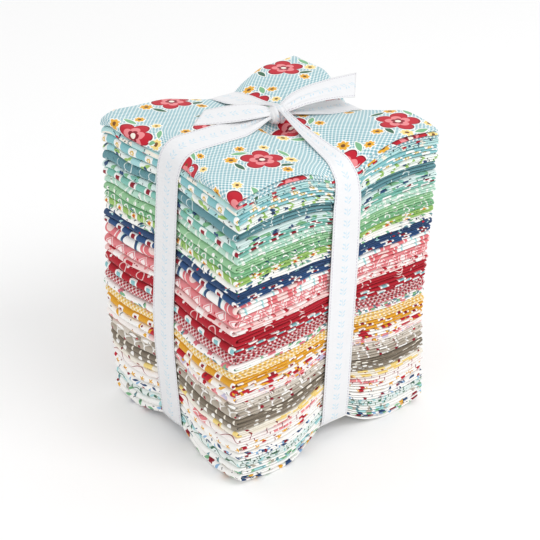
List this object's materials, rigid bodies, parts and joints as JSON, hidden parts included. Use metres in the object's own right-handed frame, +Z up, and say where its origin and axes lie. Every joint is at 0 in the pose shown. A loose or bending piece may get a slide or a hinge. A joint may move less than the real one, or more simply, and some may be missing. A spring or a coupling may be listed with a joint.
{
  "type": "fat quarter bundle",
  "caption": "Stack of folded printed cotton fat quarters, tied both ways with one white ribbon that is knotted on top and has two short free ends.",
  "frame": {"origin": "bottom centre of the bundle's bounding box, on the surface it rests on", "axes": "+Z up from the surface; X along the longer side of the folded cuts and Y along the shorter side; the two sides that show in the picture face -X and -Y"},
  "size_m": [0.1645, 0.136, 0.2069],
  "materials": {
    "white_posy": "matte printed cotton",
    "teal_twig": "matte printed cotton",
    "aqua_leaf": "matte printed cotton",
    "white_blue_sprig": "matte printed cotton",
    "white_star": "matte printed cotton",
    "pink_scroll": "matte printed cotton",
    "cream_block": "matte printed cotton",
    "brown_dot": "matte printed cotton",
    "taupe_bar": "matte printed cotton",
    "taupe_hexagon": "matte printed cotton",
    "taupe_band": "matte printed cotton",
    "cream_blossom": "matte printed cotton",
    "white_cherry": "matte printed cotton",
    "gold_square": "matte printed cotton",
    "yellow_check": "matte printed cotton",
    "white_rose": "matte printed cotton",
    "red_check": "matte printed cotton",
    "red_square": "matte printed cotton",
    "red_loop": "matte printed cotton",
    "pale_pink": "matte printed cotton",
    "pink_lattice": "matte printed cotton",
    "pink_scallop": "matte printed cotton",
    "navy_square": "matte printed cotton",
    "navy_plain": "matte printed cotton",
    "white_sprig": "matte printed cotton",
    "lime_circle": "matte printed cotton",
    "green_ring": "matte printed cotton",
    "green_dot": "matte printed cotton",
    "arc_scallop": "matte printed cotton",
    "mint_square": "matte printed cotton",
    "mint_berry": "matte printed cotton",
    "teal_loop": "matte printed cotton",
    "mint_leaf": "matte printed cotton",
    "aqua_flower": "matte printed cotton",
    "aqua_stripe": "matte printed cotton",
    "aqua_check": "matte printed cotton",
    "ribbon": "soft satin with stitched edges"
  },
  "bodies": {
    "root": {"quarter_01_white_posy": "white_posy", "quarter_02_teal_twig": "teal_twig", "quarter_03_aqua_leaf": "aqua_leaf", "quarter_04_white_blue_sprig": "white_blue_sprig", "quarter_05_white_star": "white_star", "quarter_06_pink_scroll": "pink_scroll", "quarter_07_cream_block": "cream_block", "quarter_08_brown_dot": "brown_dot", "quarter_09_taupe_bar": "taupe_bar", "quarter_10_taupe_hexagon": "taupe_hexagon", "quarter_11_taupe_band": "taupe_band", "quarter_12_cream_blossom": "cream_blossom", "quarter_13_white_cherry": "white_cherry", "quarter_14_gold_square": "gold_square", "quarter_15_yellow_check": "yellow_check", "quarter_16_white_rose": "white_rose", "quarter_17_red_check": "red_check", "quarter_18_red_square": "red_square", "quarter_19_red_loop": "red_loop", "quarter_20_pale_pink": "pale_pink", "quarter_21_pink_lattice": "pink_lattice", "quarter_22_pink_scallop": "pink_scallop", "quarter_23_navy_square": "navy_square", "quarter_24_navy_plain": "navy_plain", "quarter_25_white_sprig": "white_sprig", "quarter_26_lime_circle": "lime_circle", "quarter_27_green_ring": "green_ring", "quarter_28_green_dot": "green_dot", "quarter_29_arc_scallop": "arc_scallop", "quarter_30_mint_square": "mint_square", "quarter_31_mint_berry": "mint_berry", "quarter_32_teal_loop": "teal_loop", "quarter_33_mint_leaf": "mint_leaf", "quarter_34_aqua_flower": "aqua_flower", "quarter_35_aqua_stripe": "aqua_stripe", "quarter_36_aqua_check": "aqua_check", "ribbon_band_lengthwise": "ribbon", "ribbon_band_crosswise": "ribbon", "ribbon_knot": "ribbon", "ribbon_tail_left": "ribbon", "ribbon_tail_right": "ribbon"}
  },
  "joints": []
}
